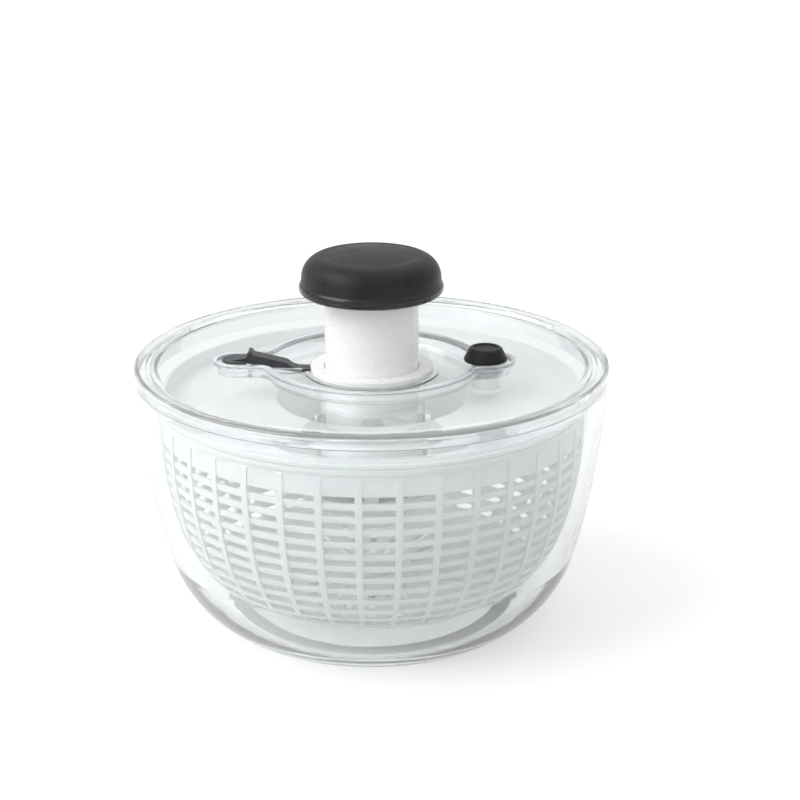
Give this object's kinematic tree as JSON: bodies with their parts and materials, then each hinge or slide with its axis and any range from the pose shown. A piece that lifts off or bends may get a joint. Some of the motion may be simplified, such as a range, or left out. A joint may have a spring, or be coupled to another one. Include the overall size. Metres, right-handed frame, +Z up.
{
  "type": "salad spinner",
  "caption": "Pump-driven salad spinner: clear bowl, slotted white basket, clear lid with push-down knob, side brake button and lock lever.",
  "frame": {"origin": "centre of the soft ring that the bowl stands on, on the table", "axes": "+Z up along the spin axis, -X towards the lock lever, +X towards the brake button"},
  "size_m": [0.2708, 0.2708, 0.215],
  "materials": {
    "clear_plastic": "clear, polished",
    "basket_white": "translucent white, semi-gloss",
    "gloss_white": "glossy",
    "acetal": "satin",
    "pale_rubber": "matte, soft",
    "black_plastic": "semi-gloss",
    "black_rubber": "soft satin",
    "grey_plastic": "satin",
    "steel": "bright"
  },
  "bodies": {
    "bowl": {"bowl": "clear_plastic", "base_grip_ring": "pale_rubber"},
    "pivot": {"pivot_bush": "acetal"},
    "basket": {"basket": "basket_white"},
    "lid": {"lid_shell": "clear_plastic", "mechanism_housing": "clear_plastic", "collar_ring": "gloss_white", "well_cap": "clear_plastic", "cap_screws": "steel", "thrust_washer": "steel", "retaining_ring": "steel", "return_spring": "steel", "brake_spring": "steel"},
    "plunger": {"plunger_tube": "gloss_white", "knob_base": "black_plastic", "knob_cap": "black_rubber", "knob_screws": "steel", "drive_nut": "acetal"},
    "spindle": {"twisted_spindle": "steel", "clutch_driver": "acetal", "driver_screw": "steel"},
    "rotor": {"rotor_disc": "basket_white", "rotor_hub": "gloss_white", "hub_cap": "gloss_white"},
    "brake": {"brake_button": "black_rubber", "brake_stem": "basket_white", "brake_shoe": "pale_rubber", "brake_clip": "steel"},
    "lock": {"lock_lever": "grey_plastic"}
  },
  "joints": [
    {"name": "basket_lift", "type": "slide", "parent": "bowl", "child": "pivot", "axis": [0, 0, 1], "range_m": [0, 0.15]},
    {"name": "basket_spin", "type": "hinge", "parent": "pivot", "child": "basket", "pos_m": [0, 0, 0.02], "axis": [0, 0, 1], "continuous": true},
    {"name": "lid_lift", "type": "slide", "parent": "pivot", "child": "lid", "axis": [0, 0, 1], "range_m": [0, 0.15]},
    {"name": "rotor_spin", "type": "hinge", "parent": "lid", "child": "rotor", "pos_m": [0, 0, 0.07], "axis": [0, 0, 1], "continuous": true},
    {"name": "plunger_press", "type": "slide", "parent": "lid", "child": "plunger", "axis": [0, 0, -1], "range_m": [0, 0.042], "stiffness_N_per_m": 200, "springref_m": -0.025, "deforming": ["return_spring"]},
    {"name": "spindle_spin", "type": "hinge", "parent": "lid", "child": "spindle", "pos_m": [0, 0, 0.07], "axis": [0, 0, 1], "range_deg": [0, 510]},
    {"name": "brake_press", "type": "slide", "parent": "lid", "child": "brake", "axis": [0, 0, -1], "range_m": [0, 0.003], "stiffness_N_per_m": 500, "springref_m": -0.002, "deforming": ["brake_spring"]},
    {"name": "lock_slide", "type": "slide", "parent": "lid", "child": "lock", "axis": [1, 0, 0], "range_m": [0, 0.0045]}
  ],
  "couplings": [
    {"joint": "rotor_spin", "follows": "basket_spin", "ratio": 1},
    {"joint": "spindle_spin", "follows": "plunger_press", "rad_per_m": 209.44}
  ]
}
